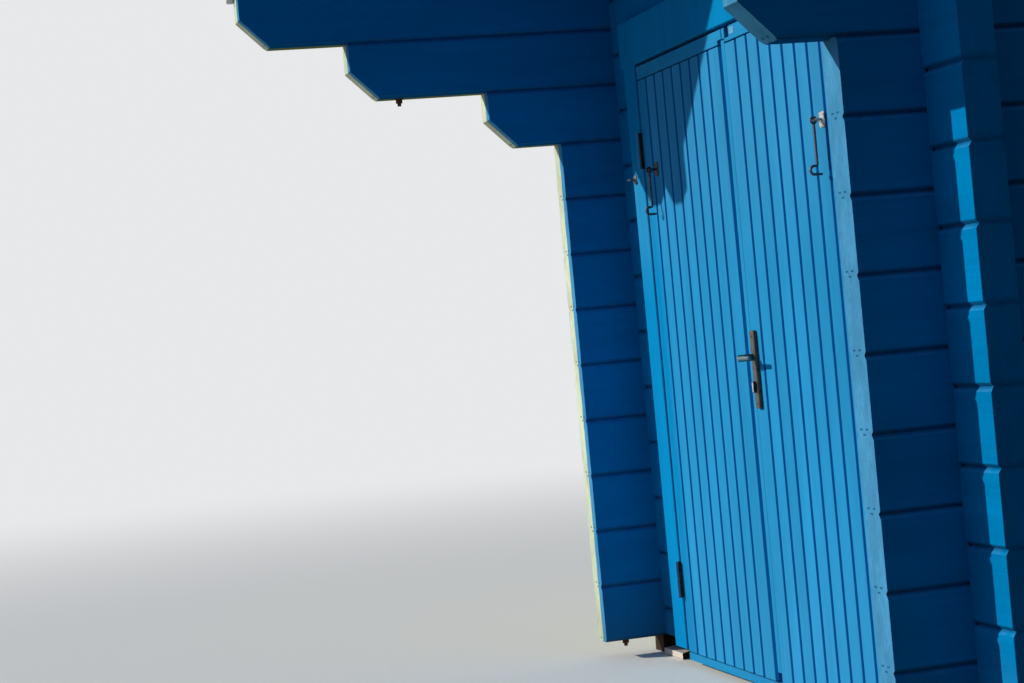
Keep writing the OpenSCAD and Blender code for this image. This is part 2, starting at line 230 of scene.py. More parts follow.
class Nodes:
    """A node tree and short ways to add to it. Inputs take numbers, values, sockets or names of colours."""

    def __init__(self, tree):
        self.tree = tree

    def feed(self, socket, value):
        if isinstance(value, Value):
            value = value.socket
        if isinstance(value, bpy.types.NodeSocket):
            self.tree.links.new(value, socket)
        else:
            socket.default_value = linear(value) if isinstance(value, str) else value

    def fill(self, node, values):
        """Feed a node's inputs, in order or, from a dict, by name. None leaves an input alone."""
        for key, value in values.items() if isinstance(values, dict) else enumerate(values):
            if value is not None:
                self.feed(node.inputs[key], value)
        return node

    def add(self, kind, values=(), **settings):
        node = self.tree.nodes.new("ShaderNode" + kind)
        for key, setting in settings.items():
            setattr(node, key, setting)
        return self.fill(node, values)

    def math(self, operation, a, b=0.0, c=0.0, clamp=False):
        return Value(self, self.add("Math", (a, b, c), operation=operation, use_clamp=clamp).outputs[0])

    def length(self, a, b):
        return self.math("SQRT", a * a + b * b)

    def within(self, value, start, end):
        """1 where the value lies between two numbers, otherwise 0."""
        return self.math("COMPARE", value, (start + end) / 2, (end - start) / 2)

    def span(self, value, start, end, to_start=0.0, to_end=1.0):
        """The value mapped from one range to another, clamped, with soft ends."""
        node = self.add("MapRange", (value, start, end, to_start, to_end), interpolation_type="SMOOTHSTEP")
        return Value(self, node.outputs["Result"])

    def vary(self, value, least, most):
        """The middle range of a noise, mapped to another range."""
        return self.span(value, 0.3, 0.7, least, most)

    def mix(self, factor, a, b):
        return self.add("Mix", {"Factor": factor, "A": a, "B": b}, data_type="RGBA").outputs["Result"]

    def shade(self, colour, factor):
        """The colour times a number."""
        if isinstance(colour, str):
            colour = linear(colour)[:3]
        return self.add("VectorMath", {0: colour, "Scale": factor}, operation="SCALE").outputs[0]


class Graph(Nodes):
    """A material, with the place, the facing and the own tone of its surface as values."""

    def __init__(self, name):
        self.material = bpy.data.materials.new(name)
        self.material.use_nodes = True
        super().__init__(self.material.node_tree)
        self.shader = self.tree.nodes["Principled BSDF"]
        coords = self.add("TexCoord").outputs
        self.place = coords["Object"]
        x, y, self.z = self.parts(self.place)
        self.x = x - RIDGE_X
        self.y = y - WING_Y
        self.nx, self.ny, self.nz = self.parts(coords["Normal"])
        self.tone = self.add("Attribute", attribute_name="tone").outputs["Fac"]

    def parts(self, vector):
        return [Value(self, socket) for socket in self.add("SeparateXYZ", (vector,)).outputs]

    def noise(self, scales, detail, roughness, distortion=0.0):
        """Noise from 0 to 1. Its scale is one number, or one each along x, y and z, in cycles per metre."""
        scales = scales if isinstance(scales, tuple) else (scales,) * 3
        stretched = self.add("VectorMath", (self.place, scales), operation="MULTIPLY")
        node = self.add("TexNoise", {"Vector": stretched.outputs[0], "Scale": 1.0, "Detail": detail,
                                     "Roughness": roughness, "Distortion": distortion})
        return Value(self, node.outputs["Fac"])

    def own_tone(self, amount):
        """A factor around 1 that differs from solid to solid."""
        return self.math("MULTIPLY_ADD", self.tone, amount, 1.0)

    def edges(self):
        """1 on the eased edges, which face between two axes, otherwise 0."""
        slanted = abs(self.nx * self.ny) + abs(self.ny * self.nz) + abs(self.nx * self.nz)
        return self.span(slanted, 0.2, 0.4)

    def bump(self, height, distance, strength, under=None):
        return self.add("Bump", {"Strength": strength, "Distance": distance, "Height": height,
                                 "Normal": under}).outputs["Normal"]

    def finish(self, colour, roughness, normal=None, metallic=0.0, specular=0.12):
        self.fill(self.shader, {"Base Color": colour, "Roughness": roughness, "Metallic": metallic,
                                "Specular IOR Level": specular, "Normal": normal})
        return self.material


# Scales of a noise along and across the grain
GRAIN = (3.0, 260.0)
BRUSH = (9.0, 700.0)
FIGURE = (1.2, 14.0)


def along_grain(grain, scales):
    """Scales along x, y and z of a noise that follows the grain."""
    return tuple(scales[0] if axis == grain else scales[1] for axis in "xyz")


def painted(graph, colour, grain, roughness, contrast, wear, chalk=0.03):
    """Weathered paint on planed timber: colour, roughness and normal, before any extra layers."""
    streaks = graph.noise(along_grain(grain, GRAIN), 4.0, 0.6)
    brush = graph.noise(along_grain(grain, BRUSH), 2.0, 0.5)
    figure = graph.noise(along_grain(grain, FIGURE), 3.0, 0.55, 0.6)
    clouds = graph.noise(1.7, 3.0, 0.5)
    level = graph.own_tone(0.06 * contrast)
    for layer in (streaks, figure, clouds):
        level *= graph.vary(layer, 1 - 0.06 * contrast, 1 + 0.05 * contrast)
    shaded = graph.shade(colour, level)
    if chalk > 0:
        bloom = graph.span(graph.noise((5.0, 5.0, 3.0), 4.0, 0.6), 0.55, 0.8, 0.0, chalk)
        shaded = graph.mix(bloom, shaded, "worn_blue")
    rubbed = graph.edges() * graph.span(graph.noise(22.0, 4.0, 0.7), 0.36, 0.62) * wear
    rough = graph.vary(clouds, roughness - 0.06, roughness + 0.08) + graph.vary(brush, -0.04, 0.05)
    normal = graph.bump(brush, 0.00015, 0.5, graph.bump(streaks, 0.0006, 0.5))
    return graph.mix(rubbed, shaded, "worn_blue"), rough, graph.bump(figure, 0.002, 0.25, normal)


def ground_dirt(graph, colour):
    """Splashed dirt that fades out above the ground."""
    rise = graph.z + graph.span(graph.noise((9.0, 9.0, 3.0), 4.0, 0.6), 0.2, 0.8, -0.1, 0.1)
    return graph.mix(graph.span(rise, BASE_Z, 0.34, 0.25, 0.0), colour, "dirt")


def sawn_end(graph, colour, pale, normal, facing, across, rise):
    """Faces across the grain weather more: pale fibres, grey stains and pits.

    At a joint they also show the open slots of the tongues, darkened as painted shade."""
    fibres = graph.vary(graph.noise((300.0, 300.0, 40.0), 3.0, 0.6), 0.88, 1.1)
    blots = graph.span(graph.noise((19.0, 19.0, 8.0), 4.0, 0.62), 0.3, 0.72, 0.84, 1.12)
    faded = graph.shade(pale, fibres * blots)
    stains = graph.span(graph.noise((38.0, 38.0, 9.0), 4.0, 0.66), 0.5, 0.74, 0.0, 0.42)
    faded = graph.mix(stains, faded, graph.mix(0.5, colour, "grey_blue"))
    pits = graph.span(graph.noise((160.0, 160.0, 60.0), 3.0, 0.6), 0.66, 0.74, 0.0, 0.5)
    faded = graph.mix(pits, faded, graph.shade(colour, 0.5))
    pair = graph.within(across, 0.021, 0.036) + graph.within(across, 0.053, 0.068)
    single = graph.within(across, 0.037, 0.053)
    slots = graph.within(rise, 0.010, 0.015) * pair + graph.within(rise, -0.003, 0.002) * single
    # Painted shade in the tongues' open slots
    faded = graph.mix(slots * 0.7, faded, "slot_shade_blue")
    height = 0.0 - (slots + pits * 0.3)
    return graph.mix(facing, colour, faded), graph.bump(height * facing, 0.001, 0.6, normal)


def log_paint(name, grain, first_joint, left_wing=False):
    """Painted logs of one direction. Dirt and painted shade lie in the joints, and the inside of the hut is
    bare pine.
    """
    graph = Graph(name)
    base, pale = "log_blue", "end_blue"
    whole_courses = 40
    course = (graph.z - first_joint) / LOG_H + (whole_courses + 0.5)
    rise = (graph.math("FRACT", course) - 0.5) * LOG_H
    if left_wing:
        wobble = graph.vary(graph.noise((40.0, 40.0, 20.0), 2.0, 0.5), -0.0015, 0.0015)
        lime_side = graph.math("LESS_THAN", graph.x + wobble, -(SIDE_IN + 0.4 * LOG_T))
        base = graph.mix(lime_side, base, "lime")
        pale = graph.mix(lime_side, pale, "lime_chalk")
    colour, rough, normal = painted(graph, base, grain, 0.6, 1.0, 0.12)
    if grain == "y":
        facing = graph.span(abs(graph.ny), 0.55, 0.65)
        across = abs(graph.x) - SIDE_IN
        # End faces that face downwards are darker: painted shade
        pale = graph.shade(pale, graph.span(graph.nz, -0.6, -0.3, 0.66, 1.0))
    else:
        facing = graph.span(abs(graph.nx), 0.86, 0.95) * 0.35
        across = graph.math("MODULO", graph.y - FRONT_Y, BACK_IN_Y - FRONT_Y)
        pale = graph.shade(base, 0.8)
    colour, normal = sawn_end(graph, colour, pale, normal, facing, across, rise)
    along = 1.0 - facing
    # Joint dirt and painted shade: darker from just below each joint to a little above it
    joint_dirt_and_shade = graph.span(rise, -0.010, 0.0) * graph.span(rise, 0.016, 0.0, 0.0, 0.5)
    colour = graph.mix(joint_dirt_and_shade * along, colour, "joint_dirt_and_shade_blue")
    if grain == "x":
        outer = abs(abs(graph.x) - (SIDE_OUT + 0.008))
        inner = abs(abs(graph.x) - (SIDE_IN - 0.020))
        nearer = graph.math("MINIMUM", inner, outer)
        # Painted shade in the open tongue holes at the corners, with a little rust
        hole_shade = graph.span(graph.length(nearer / 0.007, rise / 0.0055), 0.6, 1.15, 1.0, 0.0) * along
        colour = graph.mix(hole_shade * 0.9, colour, graph.mix(0.25, "shadow", "rust"))
    lap = 0.010
    inside = (graph.within(graph.x, -(SIDE_IN + lap), SIDE_IN + lap)
              * graph.within(graph.y, FRONT_IN_Y - lap, BACK_IN_Y + lap))
    streaks = graph.noise(along_grain(grain, GRAIN), 4.0, 0.6)
    pine = graph.mix(graph.span(streaks, 0.35, 0.65, 0.0, 0.5), "bare_pine", graph.shade("bare_pine", 0.72))
    colour = graph.mix(inside, ground_dirt(graph, colour), pine)
    return graph.finish(colour, rough, normal, specular=0.0)


def joinery_paint(graph, colour, grain, wear=0.15, chalk=0.03):
    """Smoother paint of the doors, the boards around them and the roof's boards."""
    paint, rough, normal = painted(graph, colour, grain, 0.55, 0.9, wear, chalk)
    return graph.finish(paint, rough, normal, specular=0.0)


def casing_paint():
    """Paint of the boards around the doors, paler half way up beside the left leaf: partly bleached paint,
    partly painted sunlight.
    """
    graph = Graph("casing_paint")
    # Paler patch half way up the left casing: partly bleach, partly painted sunlight
    bleach_and_painted_light = (graph.span(graph.z, 1.20, 1.50) * graph.span(graph.x, -0.85, -0.60, 1.0, 0.0)
              * graph.span(graph.z, 1.62, 1.78, 1.0, 0.0))
    return joinery_paint(graph, graph.mix(bleach_and_painted_light, "casing_blue", "door_blue"), "z", 0.1, 0.0)


def leaf_paint():
    """Door paint: like the casing's near it, paler high up and low down, partly bleached and partly painted
    sunlight, with painted shade deeper in the grooves.
    """
    graph = Graph("door_paint_boards")
    base = graph.mix(graph.span(graph.x, -0.79, -0.67), "casing_blue", "door_blue")
    # Paler high up and low down: partly chalky paint, partly painted sunlight
    bleach_and_painted_light = graph.span(graph.z, 1.25, 1.70, 0.0, 0.09) + graph.span(graph.z, 0.1, 0.7, 0.05, 0.0)
    base = graph.mix(bleach_and_painted_light, base, "worn_blue")
    paint, rough, normal = painted(graph, base, "z", 0.55, 0.9, 0.0)
    # Deeper blue in the grooves: painted shade
    depth = graph.y - LEAF_Y
    groove_shade = graph.span(depth, 0.0, 0.0018, 0.0, 0.9) * graph.math("LESS_THAN", depth, 0.0195)
    return graph.finish(graph.mix(groove_shade, paint, "groove_shade_blue"), rough, normal, specular=0.0)


def white_paint():
    graph = Graph("white_paint")
    streaks = graph.noise(120.0, 4.0, 0.6)
    stains = graph.span(graph.noise((3.0, 3.0, 9.0), 4.0, 0.6), 0.5, 0.8, 0.0, 0.3)
    colour = graph.mix(stains, graph.shade("white", graph.vary(streaks, 0.95, 1.03)), "zinc")
    return graph.finish(colour, graph.vary(streaks, 0.42, 0.55), graph.bump(streaks, 0.0004, 0.5))


def bare_timber(name, colour, grain, dark=0.66):
    graph = Graph(name)
    streaks = graph.noise(along_grain(grain, GRAIN), 5.0, 0.65)
    figure = graph.noise(along_grain(grain, FIGURE), 3.0, 0.55, 1.0)
    tone = graph.mix(graph.span(streaks, 0.35, 0.65), colour, graph.shade(colour, dark))
    tone = graph.shade(tone, graph.vary(figure, 0.85, 1.1) * graph.own_tone(0.08))
    return graph.finish(tone, graph.vary(figure, 0.62, 0.8), graph.bump(streaks, 0.0012, 0.7))


def packer_material(name, face, top):
    """Rough sawn offcuts: one colour in front, another on top, and the faces to the right darkened with bark
    colour as painted shade.
    """
    graph = Graph(name)
    speckle = graph.noise(300.0, 4.0, 0.7)
    patches = graph.noise((26.0, 26.0, 40.0), 4.0, 0.6)
    tone = graph.mix(graph.span(graph.ny, -0.6, -0.4), face, top)
    tone = graph.shade(tone, graph.vary(speckle, 0.9, 1.08))
    tone = graph.mix(graph.span(patches, 0.5, 0.75, 0.0, 0.2), tone, graph.shade("bark", 2.5))
    # Faces to the right darkened with bark colour: painted shade
    tone = graph.mix(graph.span(graph.nx, 0.3, 0.6, 0.0, 0.9), tone, graph.shade("bark", 0.5))
    tone = graph.mix(graph.span(graph.z, 0.0, 0.006, 0.3, 0.0), tone, "dirt")
    return graph.finish(tone, 0.85, graph.bump(patches, 0.004, 0.5, graph.bump(speckle, 0.001, 0.6)))


def felt_material():
    graph = Graph("roof_felt")
    grit = graph.noise(900.0, 3.0, 0.7)
    clouds = graph.noise((2.5, 1.2, 2.5), 4.0, 0.6)
    tone = graph.shade("felt", graph.span(grit, 0.25, 0.75, 0.6, 1.9) * graph.own_tone(0.15))
    tone = graph.mix(graph.span(clouds, 0.4, 0.8, 0.0, 0.35), tone, "dirt")
    normal = graph.bump(clouds, 0.008, 0.3, graph.bump(grit, 0.0012, 0.8))
    return graph.finish(tone, graph.vary(clouds, 0.75, 0.95), normal)


def metal(name, colour, stain, amount, roughness, metallic, pit=0.0005, size=130.0):
    """Metal with stains of a second colour. Amount is how far the stains spread, size how fine they are."""
    graph = Graph(name)
    patches = graph.noise(size, 5.0, 0.65)
    specks = graph.noise(900.0, 2.0, 0.5)
    mask = graph.span(patches, 0.62 - amount * 0.4, 0.74 - amount * 0.4)
    tone = graph.mix(mask, graph.shade(colour, graph.vary(specks, 0.85, 1.12)), stain)
    rough = graph.math("ADD", graph.vary(specks, roughness - 0.06, roughness + 0.06), mask * 0.2, clamp=True)
    normal = graph.bump(specks + mask, pit, 0.6)
    return graph.finish(tone, rough, normal, metallic - mask * (metallic * 0.7), 0.4)


def hinge_material():
    """Knuckles with the door's paint run over their fronts, worn beside it, and in painted shade, almost
    black, behind.
    """
    graph = Graph("worn_hinge")
    patches = graph.noise(130.0, 5.0, 0.65)
    level = graph.vary(patches, 0.8, 1.15)
    tone = graph.mix(graph.span(patches, 0.58, 0.74, 0.0, 0.4), graph.shade("knuckle", level), "rust")
    painted_over = graph.span(graph.y, LEAF_Y - 0.0165, LEAF_Y - 0.0150, 1.0, 0.0)
    tone = graph.mix(painted_over, tone, graph.shade("casing_blue", level))
    # Behind the knuckle's front it is near black: painted shade
    tone = graph.mix(graph.span(graph.y, LEAF_Y - 0.0128, LEAF_Y - 0.0112), tone, "hinge_back_shade")
    return graph.finish(tone, graph.vary(patches, 0.5, 0.66), graph.bump(patches, 0.0005, 0.6), 0.0, 0.3)


def gutter_material():
    graph = Graph("gutter_sheet")
    clouds = graph.noise((6.0, 2.0, 6.0), 4.0, 0.6)
    runs = graph.noise((60.0, 60.0, 3.0), 3.0, 0.6)
    tone = graph.shade("gutter", graph.vary(clouds, 0.82, 1.12))
    tone = graph.mix(graph.span(runs, 0.55, 0.75, 0.0, 0.4), tone, "dirt")
    return graph.finish(tone, graph.vary(clouds, 0.38, 0.55), graph.bump(clouds, 0.001, 0.3), 0.15, 0.3)


def gap_shade_material():
    """Painted shade: the black of a narrow gap."""
    graph = Graph("gap_painted_shade")
    return graph.finish(graph.shade("shadow", graph.vary(graph.noise(400.0, 2.0, 0.5), 0.7, 1.2)), 0.9)


MATERIALS = {
    "log_side": log_paint("log_paint_side", "y", BASE_Z),
    "log_left": log_paint("log_paint_left_wing", "y", BASE_Z, left_wing=True),
    "log_cross": log_paint("log_paint_cross", "x", BASE_Z + LOG_H / 2),
    "boards": leaf_paint(),
    "door_z": joinery_paint(Graph("door_paint_upright"), "door_blue", "z"),
    "door_x": joinery_paint(Graph("door_paint_level"), "door_blue", "x"),
    "casing": casing_paint(),
    "soffit": joinery_paint(Graph("soffit_paint"), "log_blue", "y"),
    "rafter": joinery_paint(Graph("rafter_paint"), "log_blue", "x"),
    "white": white_paint(),
    "pine_x": bare_timber("pine_along", "bare_pine", "x"),
    "grey_x": bare_timber("grey_timber_across", "packer", "x", 0.7),
    "packer": packer_material("packer_blocks", "packer_face", "packer"),
    # Dark bark colour, also standing for painted shade on the packers by the doors
    "bark": packer_material("packer_bark_and_shade", "bark", "bark"),
    "felt": felt_material(),
    "gutter": gutter_material(),
    "rust": metal("rusty_iron", "dark_iron", "rust", 0.75, 0.6, 0.5, 0.0012),
    "eye": metal("pink_iron", "pink_iron", "brown_iron", 0.3, 0.6, 0.2, 0.0008),
    "hinge": hinge_material(),
    "zinc": metal("chalky_zinc", "chalky_zinc", "bronze", 0.3, 0.55, 0.3),
    "old_zinc": metal("stained_zinc", "navy_iron", "olive", 0.25, 0.55, 0.2),
    "keep": metal("painted_keep", "keep_blue", "chalky_zinc", 0.12, 0.5, 0.1, 0.0003, 160.0),
    "lever": metal("lever_metal", "lever_metal", "bronze_dark", 0.08, 0.4, 0.3, size=60.0),
    "collar": metal("lever_collar", "collar", "bronze_dark", 0.2, 0.5, 0.2, 0.0003, 60.0),
    "hook": metal("hook_wire", "hook_iron", "dark_iron", 0.15, 0.42, 0.3, 0.0002, 60.0),
    # A darker copy of the hook wire for the left hook: painted shade
    "hook_in_painted_shade": metal("hook_wire_in_painted_shade", "brown_iron", "dark_iron", 0.35, 0.45, 0.3, 0.0002, 60.0),
    "bronze": metal("plate_bronze", "bronze", "bronze_dark", 0.25, 0.5, 0.3, 0.0003, 50.0),
    "steel": metal("lock_steel", "lock_face", "grey_metal", 0.05, 0.4, 0.0, 0.0002),
    "lock": metal("lock_body", "lock_side_shade", "bronze_dark", 0.1, 0.45, 0.2, 0.0003),
    "gap": gap_shade_material(),
}

RECORD = frame["record"]
BODY_OF = {node: body for body, nodes in RECORD["behaviour"]["bodies"].items() for node in nodes}


def from_above(u, v, run):
    """Place of an outline that is seen from above and runs upwards."""
    return u, v, run


def from_front(u, v, run):
    """Place of an outline that is seen from the front and runs back."""
    return u, run, v


def arc(centre, radius, start, end, steps):
    """Points on an arc in a plane, from one angle to another in degrees."""
    angles = [math.radians(start + (end - start) * i / steps) for i in range(steps + 1)]
    return [(centre[0] + radius * math.cos(a), centre[1] + radius * math.sin(a)) for a in angles]


class Shape:
    """A mesh gathered from solids in hut coordinates. Each solid has a tone of its own, from -1 to 1."""

    def __init__(self):
        self.points = []
        self.faces = []
        self.tones = []
        self.smooth = []

    def take(self, solid, bevel=0.0, tone=None, smooth=False, upright=False):
        """Take over a closed solid, easing its edges, or only its upright ones."""
        bmesh.ops.recalc_face_normals(solid, faces=solid.faces)
        if bevel > 0:
            sharp = [edge for edge in solid.edges if edge.calc_face_angle(0.0) > SHARP]
            if upright:
                sharp = [edge for edge in sharp
                         if abs((edge.verts[0].co - edge.verts[1].co).normalized().z) > 0.9]
            bmesh.ops.bevel(solid, geom=sharp, offset=bevel, segments=1, affect="EDGES", clamp_overlap=True)
        solid.verts.index_update()
        start = len(self.points)
        self.points += [vert.co.copy() for vert in solid.verts]
        self.faces += [[start + vert.index for vert in face.verts] for face in solid.faces]
        self.tones += [DICE.uniform(-1, 1) if tone is None else tone] * len(solid.faces)
        self.smooth += [smooth] * len(solid.faces)
        solid.free()

    def prism(self, outline, place, start=0.0, end=1.0, bevel=0.0, tone=None, fold=None, upright=False):
        """An outline of (u, v) points, run from start to end. Place turns (u, v, run) into hut coordinates.

        Fold is two places in the outline: the face at the start bends between them."""
        solid = bmesh.new()
        rings = [[solid.verts.new(hut(*place(u, v, run))) for u, v in outline] for run in (start, end)]
        for i in range(len(outline)):
            j = (i + 1) % len(outline)
            solid.faces.new((rings[0][i], rings[0][j], rings[1][j], rings[1][i]))
        first, second = fold if fold else (0, len(outline) - 1)
        for part in (rings[0][first:second + 1], rings[0][second:] + rings[0][:first + 1]):
            if len(part) > 2:
                solid.faces.new(list(reversed(part)))
        solid.faces.new(rings[1])
        self.take(solid, bevel, tone, upright=upright)

    def box(self, corner, opposite, bevel=0.0, tone=None):
        (x0, y0, z0), (x1, y1, z1) = corner, opposite
        self.prism([(x0, y0), (x1, y0), (x1, y1), (x0, y1)], from_above, z0, z1, bevel, tone)

    def tube(self, path, radii, closed=False, sides=18):
        """A round bar along a path. Radii is one radius or one for each point."""
        solid = bmesh.new()
        path = [Vector(point) for point in path]
        radii = radii if isinstance(radii, list) else [radii] * len(path)
        last = len(path) - 1
        turns = [2 * math.pi * k / sides for k in range(sides)]
        normal = None
        rings = []
        for i, (point, radius) in enumerate(zip(path, radii)):
            ahead = path[(i + 1) % len(path)] if closed else path[min(i + 1, last)]
            behind = path[i - 1] if closed else path[max(i - 1, 0)]
            along = (ahead - behind).normalized()
            normal = along.orthogonal() if normal is None else normal - along * normal.dot(along)
            normal.normalize()
            side = along.cross(normal)
            ring = [point + radius * (math.cos(turn) * normal + math.sin(turn) * side) for turn in turns]
            rings.append([solid.verts.new(hut(*place)) for place in ring])
        for i in range(len(path) if closed else last):
            ring, after = rings[i], rings[(i + 1) % len(path)]
            for k in range(sides):
                m = (k + 1) % sides
                solid.faces.new((ring[k], ring[m], after[m], after[k]))
        if not closed:
            solid.faces.new(list(reversed(rings[0])))
            solid.faces.new(rings[-1])
        self.take(solid, 0.0, 0.0, smooth=True)

    def ring(self, centre, radius, plane):
        """A closed ring of wire in the plane of two numbered axes."""
        path = []
        for parts in arc((0.0, 0.0), radius, 0, 360, 32)[:-1]:
            point = list(centre)
            for axis, part in zip(plane, parts):
                point[axis] += part
            path.append(point)
        self.tube(path, WIRE_R, closed=True)

    def turned(self, profile, centre, facing=-1, sides=28):
        """A turned solid: (radius, distance) points on a line forward (-1) or back (1) from the centre."""
        path = [Vector(centre) + Vector((0, facing, 0)) * far for _, far in profile]
        self.tube(path, [max(radius, 1e-5) for radius, _ in profile], sides=sides)

    def piece(self, name, material, like, replaces=()):
        """Make the piece: it rides with the node that it is like, and hides the nodes that it replaces."""
        mesh = bpy.data.meshes.new(name)
        mesh.from_pydata(self.points, [], self.faces)
        tones = mesh.attributes.new("tone", "FLOAT", "FACE")
        tones.data.foreach_set("value", self.tones)
        mesh.polygons.foreach_set("use_smooth", self.smooth)
        mesh.set_sharp_from_angle(angle=SHARP)
        mesh.materials.append(MATERIALS[material])
        made = bpy.data.objects.new(name, mesh)
        bpy.context.scene.collection.objects.link(made)
        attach(made, BODY_OF[like])
        if replaces:
            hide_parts(*replaces)


def soften(node, material, bevel, smooth=False):
    """A piece that stands for a CAD node: the same solid, with its edges eased."""
    solid = bmesh.new()
    solid.from_mesh(frame["nodes"][node].data)
    bmesh.ops.remove_doubles(solid, verts=solid.verts, dist=1e-5)
    bmesh.ops.dissolve_limit(solid, angle_limit=0.005, verts=solid.verts, edges=solid.edges)
    shape = Shape()
    shape.take(solid, bevel, 0.0, smooth)
    shape.piece(f"{node}_eased", material, node, (node,))


def keep(node, material):
    """A CAD node that shows as it is, in a better material."""
    slots = frame["nodes"][node].data.materials
    slots.clear()
    slots.append(MATERIALS[material])


def sided(side, part):
    """Name of a node on the left (-1) or the right (1)."""
    return f"{'left' if side < 0 else 'right'}_{part}"


def log_section(z0, z1, sawn_foot=False, sawn_top=False, waist=None):
    """Section of one log as (across, z) points. A waist adds a point halfway up each face."""
    foot = [(0, z0), (LOG_T, z0)]
    if not sawn_foot:
        foot = [(0, z0 + FOOT_BEVEL), (FOOT_BEVEL, z0), (LOG_T - FOOT_BEVEL, z0), (LOG_T, z0 + FOOT_BEVEL)]
    top = [(LOG_T, z1), (0, z1)]
    if not sawn_top:
        shoulder = z1 - TOP_BEVEL_H
        top = [(LOG_T, shoulder), (LOG_T - TOP_BEVEL_D, z1), (TOP_BEVEL_D, z1), (0, shoulder)]
    if waist is None:
        return foot + top
    return foot + [(LOG_T, waist)] + top + [(0, waist)]


def side_logs(side, material):
    """One side wall with its corbels and top log, log by log."""
    node = sided(side, "wall")
    wall = Shape()
    for i in range(round((CORBEL_Z - BASE_Z) / LOG_H)):
        wall.prism(log_section(BASE_Z + i * LOG_H, BASE_Z + (i + 1) * LOG_H),
                   lambda u, v, run: (side * (SIDE_IN + u), run, v), 0.0, TAIL_Y)
    wall.piece(f"{node}_logs", material, node, (node,))
    for i in (1, 2, 3):
        node = sided(side, f"corbel_{i}")
        z0, z1, front = low(node).z, high(node).z, low(node).y
        half = (z0 + z1) / 2

        def place(u, v, run):
            return side * (SIDE_IN + u), front + max(0.0, half - v) if run == 0 else TAIL_Y, v
        corbel = Shape()
        corbel.prism(log_section(z0, z1, waist=half), place, bevel=0.0015, fold=(4, 9), upright=True)
        corbel.piece(f"{node}_log", material, node, (node,))
    soften(sided(side, "top_log"), material, 0.0015)


def cross_logs(z0, z1):
    """Foot and top of each cross log between two heights, half a course off the side walls' logs."""
    joints = [BASE_Z + (i + 0.5) * LOG_H for i in range(40)]
    stops = [z0] + [z for z in joints if z0 < z < z1] + [z1]
    return list(zip(stops, stops[1:]))


def cross_wall(node, y0, z_start, z_stop, start=-1.0, end=1.0):
    """Cross logs of one wall. From -1 to 1 they reach the side walls or, higher up, the slopes."""
    shape = Shape()
    for z0, z1 in cross_logs(z_start, z_stop):
        shape.prism(log_section(z0, z1, z0 == z_start and z0 > BASE_Z, z1 == z_stop),
                    lambda u, v, run: (run * min(SIDE_IN, SOFFIT_PEAK - v), y0 + u, v), start, end)
    shape.piece(f"{node}_courses", "log_cross", node, (node,))


def fin_logs():
    """Ends of the cross logs that stand out past the right wall. A thin last one is left out."""
    shape = Shape()
    for y0 in (FRONT_Y, BACK_IN_Y):
        for z0, z1 in cross_logs(BASE_Z, FIN_TOP):
            if z1 - z0 > 0.05:
                shape.prism(log_section(z0, z1), lambda u, v, run: (run, y0 + u, v), SIDE_OUT, FIN_X,
                            0.0012, upright=True)
    shape.piece("log_ends_courses", "log_cross", "log_ends", ("log_ends",))


def board_outline(x0, x1, left_groove, right_groove):
    """Section of a board between two joints, seen from above: half a V groove on each side that has one."""
    face, back = LEAF_Y, BOARD_BACK_Y
    left = [(x0, face + GROOVE), (x0 + GROOVE, face)] if left_groove else [(x0, face)]
    right = [(x1 - GROOVE, face), (x1, face + GROOVE)] if right_groove else [(x1, face)]
    return left + right + [(x1, back), (x0, back)]


def dress_leaf(side, board_edge, first_joint, pitch):
    """One door leaf: upright boards between flush rails, on a framed back."""
    node = sided(side, "leaf")
    edges = [board_edge] + [first_joint + i * pitch for i in range(BOARDS - 1)] + [LEAF_X]
    foot_z = LEAF_Z0 + RAIL_FOOT_H + RAIL_LINE
    head_z = LEAF_Z1 - RAIL_HEAD_H - RAIL_LINE
    boards = Shape()
    for i, (x0, x1) in enumerate(zip(edges, edges[1:])):
        outline = board_outline(x0, x1, i > 0 or side < 0, i < BOARDS - 1)
        boards.prism(outline, lambda u, v, run: (side * u, v, run), foot_z, head_z)
    boards.piece(f"{node}_boards", "boards", node, (node,))
    inner = BOARD_IN + STILE_W
    outer = LEAF_X - STILE_W
    middle_foot = (LEAF_Z0 + LEAF_Z1 - RAIL_H) / 2
    frame_in = min(abs(low(node).x), abs(high(node).x))
    parts = [(frame_in, inner, LEAF_Z0, LEAF_Z1), (outer, LEAF_X, LEAF_Z0, LEAF_Z1)]
    parts += [(inner, outer, z, z + RAIL_H) for z in (LEAF_Z0, middle_foot, LEAF_Z1 - RAIL_H)]
    back = Shape()
    for x0, x1, z0, z1 in parts:
        back.box((side * x0, BOARD_BACK_Y, z0), (side * x1, LEAF_BACK_Y, z1), 0.002)
    back.piece(f"{node}_framing", "door_x", node)


